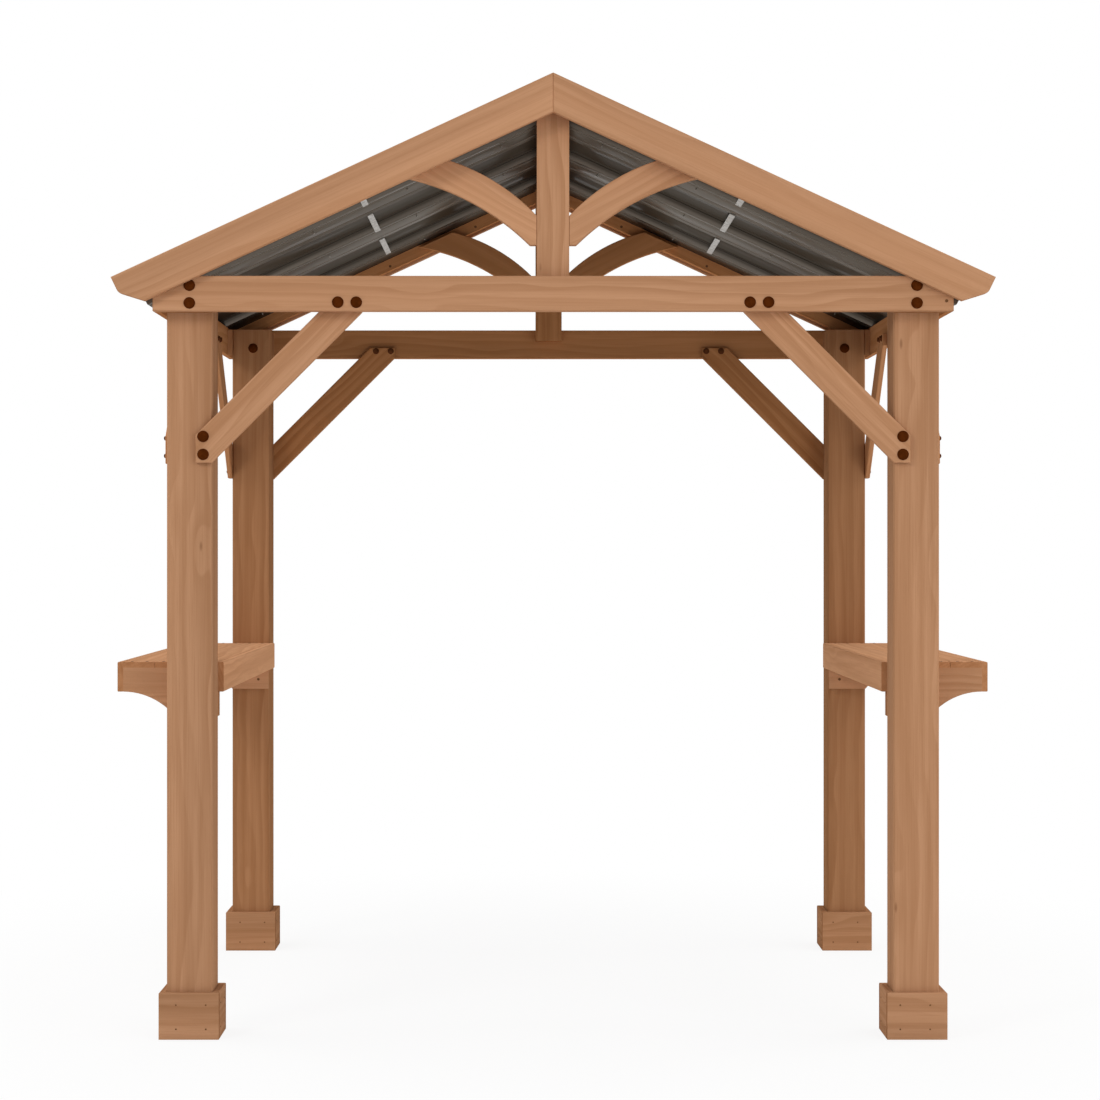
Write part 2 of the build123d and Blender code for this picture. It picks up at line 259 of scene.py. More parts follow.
# Stock: tone is how light it is, and warmth how red. The back stock's lower tone is painted shade, and all
# warmth is painted warm shade, where the frame stands under the roof. Warmth comes out of blue in full, of
# green in part
POST_LOOKS = {
    "front": {"tone": 0.95, "figure": 1.6, "ring_turn": 76},
    "back": {"tone": 0.78, "warmth": 0.20, "figure": 1.6, "ring_turn": 76},
}
BOOT_LOOKS = {
    "front": {"tone": 0.93, "figure": 1.5},
    "back": {"tone": 0.87, "warmth": 0.10, "figure": 1.5},
}
# Painted shade: the warmth given to the back gable's timbers
BACK_SHADE_WARMTH = 0.34
GREEN_WARMTH = 0.4

# Seeds: each kind of timber is numbered on from its own
BOOT_SEEDS = 40
RAFTER_SEEDS = 50
RAKE_SEEDS = 60
SIDE_SEEDS = 41
SIDE_SEED_STEP = 2
SHELF_BOARD_SEEDS = 31
RIDGE_SEED = 71
PACKER_SEED = 72


def exchanged(tree, kept, first, second):
    """The two values, exchanged where `kept` is 0."""
    turned_over = maths(tree, "SUBTRACT", 1.0, kept)
    return [
        maths(tree, "MULTIPLY_ADD", one, kept, maths(tree, "MULTIPLY", other, turned_over))
        for one, other in ((first, second), (second, first))
    ]


def cedar(
    name, along, across, seed, fold="", tone=1.0, warmth=0.0, figure=1.2, ring_turn=68.0,
    boards=None, boxed=None,
):
    """Cedar sawn from one log per board: soft growth rings, fine fibre, broad streaks and a few pin knots.

    `along` is the grain and `across` the board's width. A pair of boards mirrored in X or Y is
    folded onto one side, with its own stretch of grain on each. `figure` is how strongly the
    grain shows. `boards` is (first edge, pitch) of boards laid side by side across X. `boxed` is
    (middle Y, half depth) of a post with boards boxed round it: those on the two other faces have
    their grain along Y.
    """
    material, tree, surface = new_material(name)
    coordinates = add_node(tree, "ShaderNodeTexCoord").outputs
    axes = dict(zip("xyz", add_node(tree, "ShaderNodeSeparateXYZ", {0: coordinates["Object"]}).outputs))
    normal = dict(zip("xyz", add_node(tree, "ShaderNodeSeparateXYZ", {0: coordinates["Normal"]}).outputs))
    shift = SEED_SHIFT * seed
    for axis in fold:
        side = maths(tree, "SIGN", axes[axis])
        shift = maths(tree, "MULTIPLY_ADD", side, MIRROR_SHIFT, shift)
        axes[axis] = maths(tree, "ABSOLUTE", axes[axis])
        normal[axis] = maths(tree, "MULTIPLY", normal[axis], side)
    if boards:
        edge, pitch = boards
        number = maths(tree, "FLOOR", maths(tree, "DIVIDE", maths(tree, "SUBTRACT", axes["x"], edge), pitch))
        shift = maths(tree, "MULTIPLY_ADD", number, BOARD_SHIFT, shift)
    if boxed:
        middle, half = boxed
        from_middle = maths(tree, "SUBTRACT", axes["y"], middle)
        kept = maths(tree, "GREATER_THAN", maths(tree, "ABSOLUTE", from_middle), half)
        shift = maths(tree, "MULTIPLY_ADD", kept, BOXED_SHIFT, shift)
        for values in (axes, normal):
            values["x"], values["y"] = exchanged(tree, kept, values["x"], values["y"])
    place = add_node(tree, "ShaderNodeCombineXYZ", dict(enumerate(axes.values()))).outputs[0]
    facing = add_node(tree, "ShaderNodeCombineXYZ", dict(enumerate(normal.values()))).outputs[0]

    along = Vector(along).normalized()
    across = Vector(across).normalized()
    through = along.cross(across)

    def measure(vector, direction):
        inputs = {0: vector, 1: direction}
        return add_node(tree, "ShaderNodeVectorMath", inputs, operation="DOT_PRODUCT").outputs["Value"]

    length = maths(tree, "ADD", measure(place, along), shift)
    width = maths(tree, "MULTIPLY_ADD", shift, WIDTH_SHARE, measure(place, across))
    depth = maths(tree, "MULTIPLY_ADD", shift, DEPTH_SHARE, measure(place, through))

    def grain_point(along_scale, side_scale):
        return add_node(tree, "ShaderNodeCombineXYZ", {
            0: maths(tree, "MULTIPLY", length, along_scale),
            1: maths(tree, "MULTIPLY", width, side_scale),
            2: maths(tree, "MULTIPLY", depth, side_scale),
        }).outputs[0]

    def grain_noise(along_scale, side_scale, detail):
        inputs = {"Vector": grain_point(along_scale, side_scale), "Scale": 1.0, "Detail": detail}
        return add_node(tree, "ShaderNodeTexNoise", inputs).outputs["Fac"]

    knots = add_node(tree, "ShaderNodeTexVoronoi", {"Vector": grain_point(*KNOTS), "Scale": 1.0})
    knot_distance = knots.outputs["Distance"]
    knot = reach(tree, knot_distance, *KNOT_EDGE)
    knot_swell = reach(tree, knot_distance, *KNOT_REACH)

    turn = math.radians(ring_turn)
    ring_side = maths(tree, "MULTIPLY", width, math.cos(turn))
    ring_place = maths(tree, "MULTIPLY_ADD", depth, math.sin(turn), ring_side)
    wander = maths(tree, "SUBTRACT", grain_noise(*WANDER), 0.5)
    ring_place = maths(tree, "MULTIPLY_ADD", wander, RING_WANDER, ring_place)
    ring_place = maths(tree, "MULTIPLY_ADD", knot_swell, KNOT_SWELL, ring_place)
    ring_phase = maths(tree, "FRACT", maths(tree, "DIVIDE", ring_place, RING_SPACING))
    late = maths(tree, "MULTIPLY", reach(tree, ring_phase, *LATE_RISE), reach(tree, ring_phase, *LATE_FALL))
    plain, figured = (strength * figure for strength in PLAIN_FIGURE)
    late = maths(tree, "MULTIPLY", late, reach(tree, grain_noise(*PLAINNESS), *PLAIN_RANGE, plain, figured))

    fibre = grain_noise(*FIBRE)
    streak = grain_noise(*STREAK)
    broad = grain_noise(*BROAD)
    colour = mixed(tree, late, EARLY_WOOD, LATE_WOOD)
    colour = mixed(tree, reach(tree, streak, *STREAK_RANGE, 0.0, STREAK_FIGURE * figure), colour, LATE_WOOD)
    colour = mixed(tree, reach(tree, fibre, *FIBRE_RANGE, 0.0, FIBRE_FIGURE * figure), colour, LATE_WOOD)
    colour = mixed(tree, knot, colour, KNOT_WOOD)
    end = reach(tree, maths(tree, "ABSOLUTE", measure(facing, along)), *END_FACING)
    colour = mixed(tree, end, colour, mixed(tree, 1.0, colour, END_GRAIN, "MULTIPLY"))
    colour = mixed(tree, 1.0, colour, reach(tree, broad, *BROAD_TONES), "MULTIPLY")
    # Tint: warmth makes the stock redder as painted warm shade; the back timbers' lower tones are painted
    # shade, the shelves' higher tones painted light
    tint = (tone, tone * (1 - GREEN_WARMTH * warmth), tone * (1 - warmth), 1)
    colour = mixed(tree, 1.0, colour, tint, "MULTIPLY")

    relief = {
        "Height": maths(tree, "MULTIPLY_ADD", late, LATE_HEIGHT, fibre),
        "Distance": GRAIN_BUMP,
        "Strength": GRAIN_BUMP_STRENGTH,
    }
    bump = add_node(tree, "ShaderNodeBump", relief)
    tree.links.new(colour, surface.inputs["Base Color"])
    tree.links.new(reach(tree, fibre, *WOOD_ROUGHNESS), surface.inputs["Roughness"])
    tree.links.new(bump.outputs[0], surface.inputs["Normal"])
    surface.inputs["Specular IOR Level"].default_value = 0.0
    return material


def finish_node(name, material):
    slots = frame["nodes"][name].data.materials
    slots.clear()
    slots.append(material)


def shelf_board_layout(node):
    """First edge and pitch of a shelf's boards, across X."""
    low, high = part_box(node)
    return low.x, (high.x - low.x + SHELF_BOARD_GAP) / SHELF_BOARD_COUNT


def finish_timbers():
    """Each timber's grain runs along it. The back ones are painted darker and redder, and those under the
    roof redder: painted shade, not a different stock. The shelves' boards and aprons are painted lighter:
    painted light from above.
    """
    upright = (0, 0, 1)
    crosswise = (1, 0, 0)
    lengthwise = (0, 1, 0)
    rising_in = (-1, 0, 1)
    rising_out = (1, 0, 1)
    strut_along = (0.87, 0, 0.49)
    strut_across = (-0.49, 0, 0.87)

    def finish(node, *directions_and_seed, **look):
        finish_node(node, cedar(f"{node}_cedar", *directions_and_seed, **look))

    number = 0
    for end in ENDS:
        front = end == "front"
        # Painted warm shade on the back gable
        warmth = 0.0 if front else BACK_SHADE_WARMTH
        for side, s in SIDES.items():
            down_slope = (s * math.cos(PITCH), 0, -math.sin(PITCH))
            off_slope = (s * math.sin(PITCH), 0, math.cos(PITCH))
            corner = f"{end}_{side}"
            low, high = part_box(f"{corner}_boot")
            post_low, post_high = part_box(f"{corner}_post")
            boxed = ((low.y + high.y) / 2, (post_high.y - post_low.y) / 2)
            number += 1
            finish(f"{corner}_post", upright, crosswise, number, **POST_LOOKS[end])
            finish(f"{corner}_boot", crosswise, upright, BOOT_SEEDS + number, boxed=boxed, **BOOT_LOOKS[end])
            # The rafters are seen from under the roof: their warmth is painted warm shade
            finish(f"{corner}_rafter", down_slope, off_slope, RAFTER_SEEDS + number, tone=1.1, warmth=0.34)
            finish(f"{corner}_rake_board", down_slope, off_slope, RAKE_SEEDS + number, tone=1.03)
        gable = (
            ("gable_braces", rising_in, rising_out, 11, "x", 1.7, (1.09, 0.93)),
            ("curved_struts", strut_along, strut_across, 15, "x", 1.0, (1.11, 0.95)),
            ("tie_beam", crosswise, upright, 19, "", 1.2, (1.01, 0.90)),
            ("king_post", upright, crosswise, 23, "", 1.6, (0.99, 0.92)),
        )
        # The back gable's lower tones and its warmth are painted shade
        for piece, along, across, first_seed, fold, figure, (front_tone, back_shade_tone) in gable:
            tone = front_tone if front else back_shade_tone
            piece_seed = first_seed + int(not front)
            finish(f"{end}_{piece}", along, across, piece_seed, fold, tone, warmth, figure)
    # Pieces under the roof: their warmth is painted warm shade
    flank = (
        ("eave_beam", lengthwise, upright, "", 1.0, 0.3),
        ("side_braces", (0, -1, 1), (0, 1, 1), "y", 1.0, 0.2),
        # The aprons' high tone is painted light, standing in for light from above and from the side
        ("shelf_aprons", lengthwise, upright, "", 1.32, 0.0),
        ("shelf_corbels", crosswise, upright, "y", 1.10, 0.0),
    )
    seed = SIDE_SEEDS
    for number, side in enumerate(SIDES):
        for piece, along, across, fold, tone, warmth in flank:
            finish(f"{side}_{piece}", along, across, seed, fold, tone, warmth)
            seed += SIDE_SEED_STEP
        boards = shelf_board_layout(f"{side}_shelf_boards")
        board_seed = SHELF_BOARD_SEEDS + number
        # The boards' high tone is painted light on the shelf tops, standing in for light from above
        finish(f"{side}_shelf_boards", lengthwise, crosswise, board_seed, boards=boards, tone=1.34)
    # Ridge beam and packers: their warmth is painted warm shade under the roof
    finish("ridge_beam", lengthwise, upright, RIDGE_SEED, tone=0.92, warmth=0.3)
    finish("beam_packers", upright, crosswise, PACKER_SEED, "xy", 0.9, warmth=0.2)


# Metals

PAN_DARK = (0.104, 0.088, 0.072, 1)
PAN_LIGHT = (0.137, 0.117, 0.096, 1)
# Painted shade: the darker colour painted into the hollow under each rib, seen from below
RIB_PAINTED_SHADE = (0.056, 0.046, 0.036, 1)
EDGE_TINT = (0.44, 0.41, 0.37, 1)
PAINT_METALLIC = 0.85
RIB_MARGIN = 4 * MM
# The painted shade under the ribs is kept to faces that look down, over this range of the normal's Z
FACING_DOWN = (0.2, -0.2)
RIB_DULLNESS = 0.10
COAT_ROUGHNESS = 0.10
SLOPE_SHIFT = 3.3

# Streaks down the slope and across it, in features a metre
TONE_STREAKS = (0.8, 4.5)
DULL_STREAKS = (0.9, 9.0)
SHINE_STREAKS = (1.3, 11.0)

# Ranges of the streaks' value, and what two of them are carried to
TONE_RANGE = (0.3, 0.7)
PAINT_ROUGHNESS = (0.3, 0.7, 0.31, 0.38)
COAT_STRENGTH = (0.48, 0.70, 0.02, 0.16)

# Mottle of the coated fastenings: how much darker it makes them, and how it changes their roughness
MOTTLE_SCALE = 60.0
MOTTLE_RANGE = (0.3, 0.7)
MOTTLE_TONE = 0.72
MOTTLE_ROUGHNESS = (-0.05, 0.08)


def roof_paint():
    """Dark brown-grey enamel on sheet steel, with glossy streaks down the slope, duller up under the ribs,
    where the underside of each rib's hollow is also painted darker: painted shade.
    """
    material, tree, surface = new_material("roof_enamel")
    coordinates = add_node(tree, "ShaderNodeTexCoord").outputs
    parts = add_node(tree, "ShaderNodeSeparateXYZ", {0: coordinates["Object"]}).outputs
    facing = add_node(tree, "ShaderNodeSeparateXYZ", {0: coordinates["Normal"]}).outputs
    run = maths(tree, "ABSOLUTE", parts[0])
    row = maths(tree, "MULTIPLY_ADD", maths(tree, "SIGN", parts[0]), SLOPE_SHIFT, parts[1])

    def streaks(down_scale, across_scale):
        scaled = {0: maths(tree, "MULTIPLY", run, down_scale), 1: maths(tree, "MULTIPLY", row, across_scale)}
        point = add_node(tree, "ShaderNodeCombineXYZ", scaled).outputs[0]
        inputs = {"Vector": point, "Scale": 1.0, "Detail": 1.0}
        return add_node(tree, "ShaderNodeTexNoise", inputs).outputs["Fac"]

    flats = slope_frame(1)[0].z * math.cos(PITCH)
    rise = maths(tree, "MULTIPLY", parts[2], math.cos(PITCH))
    off_slope = maths(tree, "MULTIPLY_ADD", run, math.sin(PITCH), rise)
    # Painted shade in the ribs' hollows on the underside; the same mask also makes them rougher
    rib_hollow_painted_shade = reach(tree, off_slope, flats + RIB_MARGIN, flats + SHEET_RIB_HEIGHT - RIB_MARGIN)
    rib_hollow_painted_shade = maths(tree, "MULTIPLY", rib_hollow_painted_shade, reach(tree, facing[2], *FACING_DOWN))

    colour = mixed(tree, reach(tree, streaks(*TONE_STREAKS), *TONE_RANGE), PAN_DARK, PAN_LIGHT)
    colour = mixed(tree, rib_hollow_painted_shade, colour, RIB_PAINTED_SHADE)
    dullness = reach(tree, streaks(*DULL_STREAKS), *PAINT_ROUGHNESS)
    coat = reach(tree, streaks(*SHINE_STREAKS), *COAT_STRENGTH)
    tree.links.new(colour, surface.inputs["Base Color"])
    roughness = maths(tree, "MULTIPLY_ADD", rib_hollow_painted_shade, RIB_DULLNESS, dullness)
    tree.links.new(roughness, surface.inputs["Roughness"])
    tree.links.new(coat, surface.inputs["Coat Weight"])
    surface.inputs["Coat Roughness"].default_value = COAT_ROUGHNESS
    surface.inputs["Metallic"].default_value = PAINT_METALLIC
    surface.inputs["Specular Tint"].default_value = EDGE_TINT
    return material


def plain_metal(name, colour, roughness, metallic, shine=0.5):
    """A coated fastening: even colour with a slight mottle in tone and gloss."""
    material, tree, surface = new_material(name)
    place = add_node(tree, "ShaderNodeTexCoord").outputs["Object"]
    inputs = {"Vector": place, "Scale": MOTTLE_SCALE, "Detail": 3.0}
    mottle = add_node(tree, "ShaderNodeTexNoise", inputs).outputs["Fac"]
    darker = tuple(MOTTLE_TONE * part for part in colour) + (1,)
    tint = mixed(tree, reach(tree, mottle, *MOTTLE_RANGE), colour + (1,), darker)
    tree.links.new(tint, surface.inputs["Base Color"])
    least, most = (roughness + change for change in MOTTLE_ROUGHNESS)
    tree.links.new(reach(tree, mottle, *MOTTLE_RANGE, least, most), surface.inputs["Roughness"])
    surface.inputs["Metallic"].default_value = metallic
    surface.inputs["Specular IOR Level"].default_value = shine
    return material


# Modelling helpers

def as_finished(piece, name, material):
    """Puts the piece's place in its mesh, names it and fixes it to the frame."""
    bpy.ops.object.select_all(action="DESELECT")
    piece.select_set(True)
    bpy.context.view_layer.objects.active = piece
    bpy.ops.object.transform_apply(location=True, rotation=True, scale=True)
    piece.name = name
    piece.data.name = name
    piece.data.materials.clear()
    piece.data.materials.append(material)
    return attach(piece, "root")


def line_of_points(points):
    """An edge chain drawn point to point, left in edit mode with its last point selected."""
    bpy.ops.object.select_all(action="DESELECT")
    bpy.ops.mesh.primitive_plane_add(size=MM, location=(0, 0, 0))
    bpy.ops.object.mode_set(mode="EDIT")
    bpy.ops.mesh.select_mode(type="VERT")
    bpy.ops.mesh.select_all(action="SELECT")
    bpy.ops.mesh.merge(type="CENTER")
    bpy.ops.transform.translate(value=tuple(points[0]))
    for start, end in zip(points, points[1:]):
        step = tuple(Vector(end) - Vector(start))
        bpy.ops.mesh.extrude_region_move(TRANSFORM_OT_translate={"value": step})
    return bpy.context.object


def turned(profile, steps, smooth):
    """A fastening turned about Z from its outline in mm. Six steps make a hexagon."""
    piece = line_of_points([Vector((radius, 0, height)) * MM for radius, height in profile])
    bpy.ops.mesh.select_all(action="SELECT")
    bpy.ops.mesh.spin(steps=steps, angle=2 * math.pi, center=(0, 0, 0), axis=(0, 0, 1))
    bpy.ops.mesh.select_all(action="SELECT")
    bpy.ops.mesh.remove_doubles(threshold=MERGE_DISTANCE)
    bpy.ops.mesh.normals_make_consistent(inside=False)
    bpy.ops.object.mode_set(mode="OBJECT")
    if smooth:
        bpy.ops.object.shade_smooth_by_angle(angle=SMOOTH_ANGLE)
    return piece


def copies(model, places, name, material):
    """The model copied to each (point, outward direction), and joined into one piece."""
    made = []
    for point, outward in places:
        copy = model.copy()
        copy.data = model.data.copy()
        turn = Vector(outward).to_track_quat("Z", "Y").to_matrix().to_4x4()
        copy.matrix_world = Matrix.Translation(point) @ turn
        bpy.context.scene.collection.objects.link(copy)
        made.append(copy)
    bpy.ops.object.select_all(action="DESELECT")
    for copy in made:
        copy.select_set(True)
    bpy.context.view_layer.objects.active = made[0]
    bpy.ops.object.join()
    return as_finished(made[0], name, material)


def folded_sheet(profile, corner, across, off, down, length):
    """A sheet bent to (across, off) points and run down the slope, with round bends and its gauge."""
    points = [corner + across * run + off * height for run, height in profile]
    sheet = line_of_points(points)
    bpy.ops.mesh.select_all(action="SELECT")
    bpy.ops.mesh.extrude_region_move(TRANSFORM_OT_translate={"value": tuple(down * length)})
    bpy.ops.object.mode_set(mode="OBJECT")
    if sheet.data.polygons[0].normal.dot(off) < 0:
        bpy.ops.object.mode_set(mode="EDIT")
        bpy.ops.mesh.select_all(action="SELECT")
        bpy.ops.mesh.flip_normals()
        bpy.ops.object.mode_set(mode="OBJECT")
    bend = sheet.modifiers.new("bend", "BEVEL")
    bend.width = SHEET_BEND
    bend.segments = BEND_STEPS
    bend.limit_method = "ANGLE"
    bend.angle_limit = BEND_LEAST_ANGLE
    gauge = sheet.modifiers.new("gauge", "SOLIDIFY")
    gauge.thickness = SHEET_GAUGE
    gauge.offset = 1
    for modifier in ("bend", "gauge"):
        bpy.ops.object.modifier_apply(modifier=modifier)
    bpy.ops.object.shade_smooth_by_angle(angle=SMOOTH_ANGLE)
    return sheet


# Roof

def slope_frame(s):
    """A slope's directions and its top corner: under the panels, at the ridge and the panels' front."""
    rafter_low, rafter_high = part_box("front_right_rafter")
    down = Vector((s * math.cos(PITCH), 0, -math.sin(PITCH)))
    off = Vector((s * math.sin(PITCH), 0, math.cos(PITCH)))
    return Vector((0, rafter_low.y, rafter_high.z)), Vector((0, 1, 0)), off, down


def beads(starts, level, rise):
    """Outline of the shallow stiffening beads pressed in a flat."""
    points = []
    for start in starts:
        points += [(start, level), (start + BEAD_WIDTH / 3, level + rise)]
        points += [(start + 2 * BEAD_WIDTH / 3, level + rise), (start + BEAD_WIDTH, level)]
    return points


def dress_roof(enamel, screw_metal, tip_metal):
    """A bent sheet in place of each plain panel, with its screws."""
    panels = sorted(n for n in frame["nodes"] if n.startswith("right_roof_panel"))
    low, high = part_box(panels[0])
    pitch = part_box(panels[1])[0].y - low.y
    width = high.y - low.y
    eave = high.x
    heads = []
    tips = []
    for side, s in SIDES.items():
        ridge, across, off, down = slope_frame(s)
        length = eave / math.cos(PITCH) - SHEET_RIDGE_GAP
        for number, panel in enumerate(panels):
            name = panel.replace("right", side)
            rib_end = SHEET_LIP + SHEET_RIB
            profile = [
                (0, 0),
                (SHEET_LIP, 0),
                (SHEET_LIP + SHEET_WEB, SHEET_RIB_HEIGHT),
                *beads(RIB_BEADS, SHEET_RIB_HEIGHT, -BEAD_DEPTH),
                (rib_end - SHEET_WEB, SHEET_RIB_HEIGHT),
                (rib_end, 0),
                *beads(PAN_BEADS, 0, BEAD_DEPTH),
                (width, 0),
            ]
            corner = ridge + across * number * pitch + down * SHEET_RIDGE_GAP
            sheet = folded_sheet(profile, corner, across, off, down, length)
            as_finished(sheet, f"{name}_sheet", enamel)
            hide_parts(name)
            for row in ROOF_SCREW_ROWS:
                foot = corner + across * (rib_end + ROOF_SCREW_INSET) + down * (row - SHEET_RIDGE_GAP)
                heads.append((foot + off * SHEET_GAUGE, off))
                tips.append((foot, -off))
    head = turned(ROOF_SCREW_HEAD, steps=12, smooth=False)
    copies(head, heads, "roof_screw_heads", screw_metal)
    tip = turned(ROOF_SCREW_TIP, steps=10, smooth=True)
    copies(tip, tips, "roof_screw_tips", tip_metal)
    finish_node("ridge_cap", enamel)


# Fastenings on the frame

def bolt_places():
    """Where the caps sit on both gables and both sides, and the bolt heads at the side braces' feet."""
    tie_low, tie_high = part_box("front_tie_beam")
    post_low, post_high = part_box("front_right_post")
    brace_low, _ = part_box("front_gable_braces")
    _, side_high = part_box("right_side_braces")
    _, eave_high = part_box("right_eave_beam")
    beam_bottom = tie_low.z
    gable = []
    flank = []
    flank_feet = []
    for e in ENDS.values():
        outward = Vector((0, e, 0))
        for s in SIDES.values():
            for height in (TIE_LOW_BOLT, TIE_HIGH_BOLT):
                x = s * (tie_high.x - TIE_END_BOLT)
                gable.append((Vector((x, -e * tie_low.y, beam_bottom + height)), outward))
            for run in BRACE_HEAD_BOLTS:
                x = s * (post_low.x - run)
                gable.append((Vector((x, -e * tie_low.y, beam_bottom + BRACE_HEAD_HEIGHT)), outward))
            for drop in BRACE_FOOT_BOLTS:
                x = s * (post_low.x + BRACE_FOOT_INSET)
                gable.append((Vector((x, -e * brace_low.y, beam_bottom - drop)), outward))
    for s in SIDES.values():
        outward = Vector((s, 0, 0))
        post_middle = (post_low.y + post_high.y) / 2
        for e in ENDS.values():
            for height in (TIE_LOW_BOLT, EAVE_HIGH_BOLT):
                flank.append((Vector((s * eave_high.x, -e * post_middle, beam_bottom + height)), outward))
            for run in BRACE_HEAD_BOLTS:
                y = -e * (post_high.y + run)
                flank.append((Vector((s * eave_high.x, y, beam_bottom + BRACE_HEAD_HEIGHT)), outward))
            for drop in BRACE_FOOT_BOLTS:
                y = -e * (post_high.y - BRACE_FOOT_INSET)
                flank_feet.append((Vector((s * side_high.x, y, beam_bottom - drop)), outward))
    return gable, flank, flank_feet


def inner_places():
    """Where the bolts come through: nuts behind the brace heads and caps on the posts' inner faces."""
    tie_low, tie_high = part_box("front_tie_beam")
    post_low, post_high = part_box("front_right_post")
    side_low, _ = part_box("right_side_braces")
    nuts = []
    caps = []
    height = tie_low.z + BRACE_HEAD_HEIGHT
    for e in ENDS.values():
        for s in SIDES.values():
            for run in BRACE_HEAD_BOLTS:
                nuts.append((Vector((s * (post_low.x - run), -e * post_low.y, height)), Vector((0, -e, 0))))
                nuts.append((Vector((s * side_low.x, -e * (post_high.y + run), height)), Vector((-s, 0, 0))))
            x = s * (tie_high.x - TIE_END_BOLT)
            caps.append((Vector((x, -e * post_high.y, height)), Vector((0, -e, 0))))
    return nuts, caps


def boot_nail_places():
    """Four nails in each face of each post foot."""
    places = []
    for end in ENDS:
        for side, s in SIDES.items():
            low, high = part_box(f"{end}_{side}_boot")
            middle = (low + high) / 2
            faces = (
                (Vector((0, -1, 0)), Vector((1, 0, 0)), middle.y - low.y),
                (Vector((0, 1, 0)), Vector((1, 0, 0)), high.y - middle.y),
                (Vector((1, 0, 0)), Vector((0, 1, 0)), high.x - middle.x),
                (Vector((-1, 0, 0)), Vector((0, 1, 0)), middle.x - low.x),
            )
            for outward, across, distance in faces:
                shift = -s * NAIL_SHIFT * abs(outward.y)
                for offset in (shift - NAIL_INSET, shift + NAIL_INSET):
                    for height in NAIL_HEIGHTS:
                        foot = Vector((middle.x, middle.y, height))
                        places.append((foot + outward * distance + across * offset, outward))
    return places


def shelf_screw_places():
    """Two screws in each end of each shelf board, and two through each outer apron into each corbel."""
    places = []
    for side, s in SIDES.items():
        node = f"{side}_shelf_boards"
        low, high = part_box(node)
        edge, pitch = shelf_board_layout(node)
        for number in range(SHELF_BOARD_COUNT):
            for share in SHELF_SCREW_SHARES:
                x = edge + (number + share) * pitch
                for y in (low.y + SHELF_SCREW_INSET, high.y - SHELF_SCREW_INSET):
                    places.append((Vector((x, y, high.z)), Vector((0, 0, 1))))
        apron_low, apron_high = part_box(f"{side}_shelf_aprons")
        outer = apron_high.x if s > 0 else apron_low.x
        for y in (apron_low.y + SHELF_SCREW_INSET, apron_high.y - SHELF_SCREW_INSET):
            for share in APRON_SCREW_SHARES:
                z = apron_low.z + share * (apron_high.z - apron_low.z)
                places.append((Vector((outer, y, z)), Vector((s, 0, 0))))
    return places


def corbel_screw_places():
    """Screws through each corbel into its post, on the corbel's open face."""
    places = []
    for side, s in SIDES.items():
        low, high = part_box(f"{side}_shelf_corbels")
        inner = low.x if s > 0 else -high.x
        for e in ENDS.values():
            face = abs(low.y) - CORBEL_THICKNESS
            for run, drop in CORBEL_SCREWS:
                x = s * (inner + run)
                places.append((Vector((x, e * face, high.z - drop)), Vector((0, -e, 0))))
    return places


def rafter_screw_places():
    """Screw heads on the rafters' inner faces, into the rake boards."""
    _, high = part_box("front_right_rafter")
    inner = abs(high.y)
    places = []
    for e in ENDS.values():
        for s in SIDES.values():
            for run in RAFTER_SCREW_RUNS:
                z = high.z - run * math.tan(PITCH) - RAFTER_SCREW_DROP
                places.append((Vector((s * run, e * inner, z)), Vector((0, -e, 0))))
    return places


def tie_end_screw_places():
    """A screw near the right end of each tie beam."""
    low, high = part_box("front_tie_beam")
    x = high.x - TIE_SCREW_INSET
    z = low.z + TIE_SCREW_HEIGHT
    return [(Vector((x, -e * low.y, z)), Vector((0, e, 0))) for e in ENDS.values()]


def cap_outline():
    outline = [(0, CAP_HEIGHT)]
    for step in range(1, CAP_DOME_STEPS + 1):
        angle = math.radians(90 * step / CAP_DOME_STEPS)
        height = CAP_DOME_FOOT + (CAP_HEIGHT - CAP_DOME_FOOT) * math.cos(angle)
        outline.append((CAP_DOME_RADIUS * math.sin(angle), height))
    return outline + list(CAP_RIM)


def dress_frame(bronze, brown, steel):
    """Every bolt, nut, nail and screw on the timbers, one piece for each kind and place."""
    gable, flank, flank_feet = bolt_places()
    nuts, inner_caps = inner_places()
    cap = turned(cap_outline(), steps=32, smooth=True)
    copies(cap, gable, "gable_bolt_caps", bronze)
    copies(cap, flank, "side_bolt_caps", bronze)
    copies(cap, inner_caps, "post_bolt_caps", bronze)
    copies(turned(SIDE_BOLT_HEAD, steps=20, smooth=True), flank_feet, "side_bolt_heads", bronze)
    copies(turned(WASHER, steps=24, smooth=True), nuts, "brace_washers", brown)
    copies(turned(NUT, steps=6, smooth=False), nuts, "brace_nuts", brown)
    copies(turned(NAIL_HEAD, steps=12, smooth=True), boot_nail_places(), "boot_nails", steel)
    screw = turned(WOOD_SCREW_HEAD, steps=14, smooth=True)
    copies(screw, shelf_screw_places() + corbel_screw_places(), "shelf_screws", steel)
    copies(screw, rafter_screw_places() + tie_end_screw_places(), "rafter_screws", steel)


# Camera, light and floor

def place_camera():
    camera = bpy.data.cameras.new("camera")
    camera.lens = CAMERA_LENS
    camera.shift_x, camera.shift_y = CAMERA_SHIFT
    camera.clip_end = CAMERA_REACH
    stand = bpy.data.objects.new("camera", camera)
    stand.location = CAMERA_PLACE
    stand.rotation_euler = (math.radians(90), 0, 0)
    bpy.context.scene.collection.objects.link(stand)
    bpy.context.scene.camera = stand


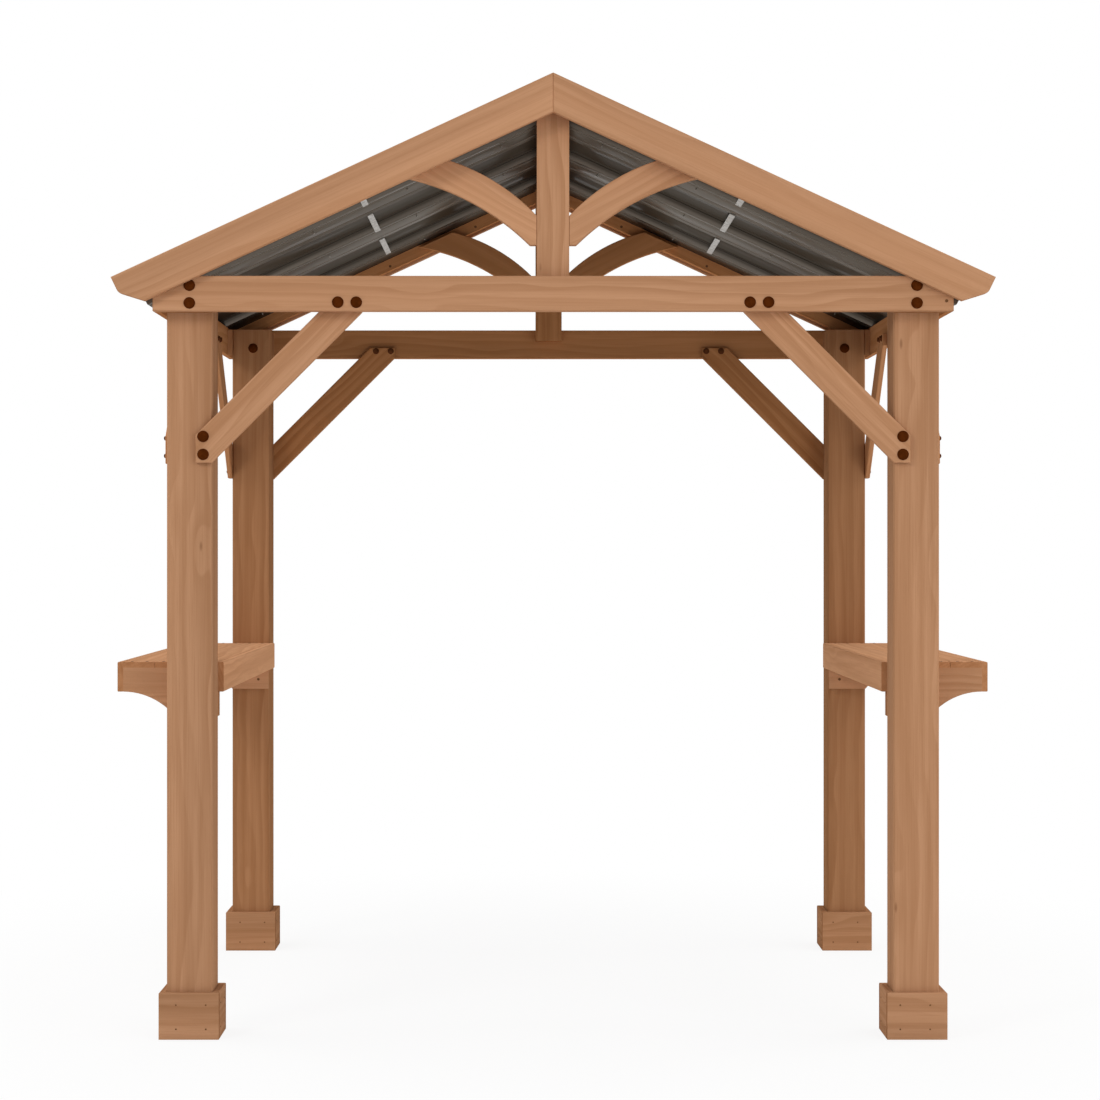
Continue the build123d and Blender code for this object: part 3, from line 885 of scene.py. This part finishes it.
def lamp(name, place, target, width, power):
    data = bpy.data.lights.new(name, "AREA")
    data.shape = "SQUARE"
    data.size = width
    data.energy = power
    stand = bpy.data.objects.new(name, data)
    stand.location = place
    stand.rotation_euler = (Vector(target) - Vector(place)).to_track_quat("-Z", "Y").to_euler()
    bpy.context.scene.collection.objects.link(stand)


def seen_directly(tree):
    """1 for what the camera sees straight, in a reflection or through glass."""
    rays = add_node(tree, "ShaderNodeLightPath").outputs
    seen = maths(tree, "MAXIMUM", rays["Is Camera Ray"], rays["Is Glossy Ray"])
    return maths(tree, "MAXIMUM", seen, rays["Is Transmission Ray"])


def light_studio():
    """Soft lamps and a white surround that lights less than it shows."""
    for name, settings in LAMPS.items():
        lamp(name, *settings)
    world = bpy.data.worlds.new("studio")
    world.use_nodes = True
    bpy.context.scene.world = world
    tree = world.node_tree
    tree.nodes.clear()
    soft = add_node(tree, "ShaderNodeBackground", {"Color": WHITE, "Strength": AMBIENT_LIGHT})
    white = add_node(tree, "ShaderNodeBackground", {"Color": WHITE, "Strength": 1.0})
    shaders = {0: seen_directly(tree), 1: soft.outputs[0], 2: white.outputs[0]}
    mix = add_node(tree, "ShaderNodeMixShader", shaders)
    add_node(tree, "ShaderNodeOutputWorld", {"Surface": mix.outputs[0]})


def lay_floor():
    """A pale floor that fades to the white of the background away from the object."""
    bpy.ops.object.select_all(action="DESELECT")
    bpy.ops.mesh.primitive_plane_add(size=FLOOR_SIZE, location=(0, 0, -FLOOR_DROP))
    floor = bpy.context.object
    floor.name = "floor"
    material, tree, surface = new_material("floor_paint")
    surface.inputs["Base Color"].default_value = FLOOR_PAINT
    surface.inputs["Roughness"].default_value = 0.9
    surface.inputs["Specular IOR Level"].default_value = 0.0
    place = add_node(tree, "ShaderNodeTexCoord").outputs["Object"]
    distance = add_node(tree, "ShaderNodeVectorMath", {0: place}, operation="LENGTH").outputs["Value"]
    away = maths(tree, "MULTIPLY", reach(tree, distance, *FLOOR_GLOW), seen_directly(tree))
    glow = add_node(tree, "ShaderNodeEmission", {"Color": WHITE, "Strength": 1.0})
    mix = add_node(tree, "ShaderNodeMixShader", {0: away, 1: surface.outputs[0], 2: glow.outputs[0]})
    tree.links.new(mix.outputs[0], tree.nodes["Material Output"].inputs["Surface"])
    floor.data.materials.append(material)
    floor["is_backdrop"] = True


def clear_models():
    """Removes the fastenings that were only copied from."""
    for spare in [o for o in bpy.context.scene.objects if o.type == "MESH"]:
        if body_of(spare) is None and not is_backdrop(spare):
            bpy.data.objects.remove(spare)


place_camera()
bronze = plain_metal("bolt_cap_bronze", (0.085, 0.019, 0.003), roughness=0.6, metallic=0.0, shine=0.0)
brown = plain_metal("brown_steel", (0.125, 0.042, 0.015), roughness=0.6, metallic=0.0, shine=0.0)
zinc = plain_metal("zinc", (0.46, 0.44, 0.40), roughness=0.36, metallic=0.7)
steel = plain_metal("nail_steel", (0.17, 0.080, 0.034), roughness=0.6, metallic=0.0, shine=0.05)
screw_paint = plain_metal("screw_paint", (0.05, 0.045, 0.04), roughness=0.4, metallic=0.6)
enamel = roof_paint()
finish_timbers()
finish_node("rib_tie_bars", zinc)
dress_roof(enamel, screw_paint, zinc)
dress_frame(bronze, brown, steel)
lay_floor()
clear_models()
light_studio()

bpy.context.scene.view_settings.view_transform = "Standard"
